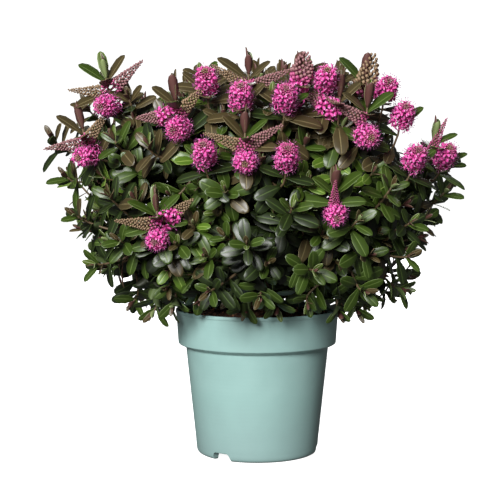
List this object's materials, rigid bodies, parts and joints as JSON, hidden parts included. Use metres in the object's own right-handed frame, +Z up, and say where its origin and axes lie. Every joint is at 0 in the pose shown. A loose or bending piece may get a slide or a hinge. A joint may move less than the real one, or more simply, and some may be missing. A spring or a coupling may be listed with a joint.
{
  "type": "potted flowering shrub",
  "caption": "Low rounded evergreen shrub with dark opposite leaves and pink flower spikes, growing in a round tapered pot with a collared rim.",
  "frame": {"origin": "middle of the pot's flat underside", "axes": "+Z up along the pot's axis, +X to the right in the picture, which looks along +Y"},
  "size_m": [0.4463, 0.4199, 0.4217],
  "materials": {
    "pot_plastic": "satin moulded plastic, pale blue-green",
    "compost": "rough, dark brown peat",
    "bark": "rough, brown",
    "foliage": "glossy dark green leaves, pink flower spikes"
  },
  "bodies": {
    "root": {"pot": "pot_plastic", "compost": "compost", "stem": "bark", "bough_01": "bark", "bough_02": "bark", "bough_03": "bark", "bough_04": "bark", "bough_05": "bark", "bough_06": "bark", "bough_07": "bark", "bough_08": "bark", "bough_09": "bark", "bough_10": "bark", "bough_11": "bark", "bough_12": "bark", "bough_13": "bark", "bough_14": "bark", "bough_15": "bark", "foliage_01": "foliage", "foliage_02": "foliage", "foliage_03": "foliage", "foliage_04": "foliage", "foliage_05": "foliage", "foliage_06": "foliage", "foliage_07": "foliage", "foliage_08": "foliage", "foliage_09": "foliage", "foliage_10": "foliage", "foliage_11": "foliage", "foliage_12": "foliage", "foliage_13": "foliage", "foliage_14": "foliage", "foliage_15": "foliage"}
  },
  "joints": []
}
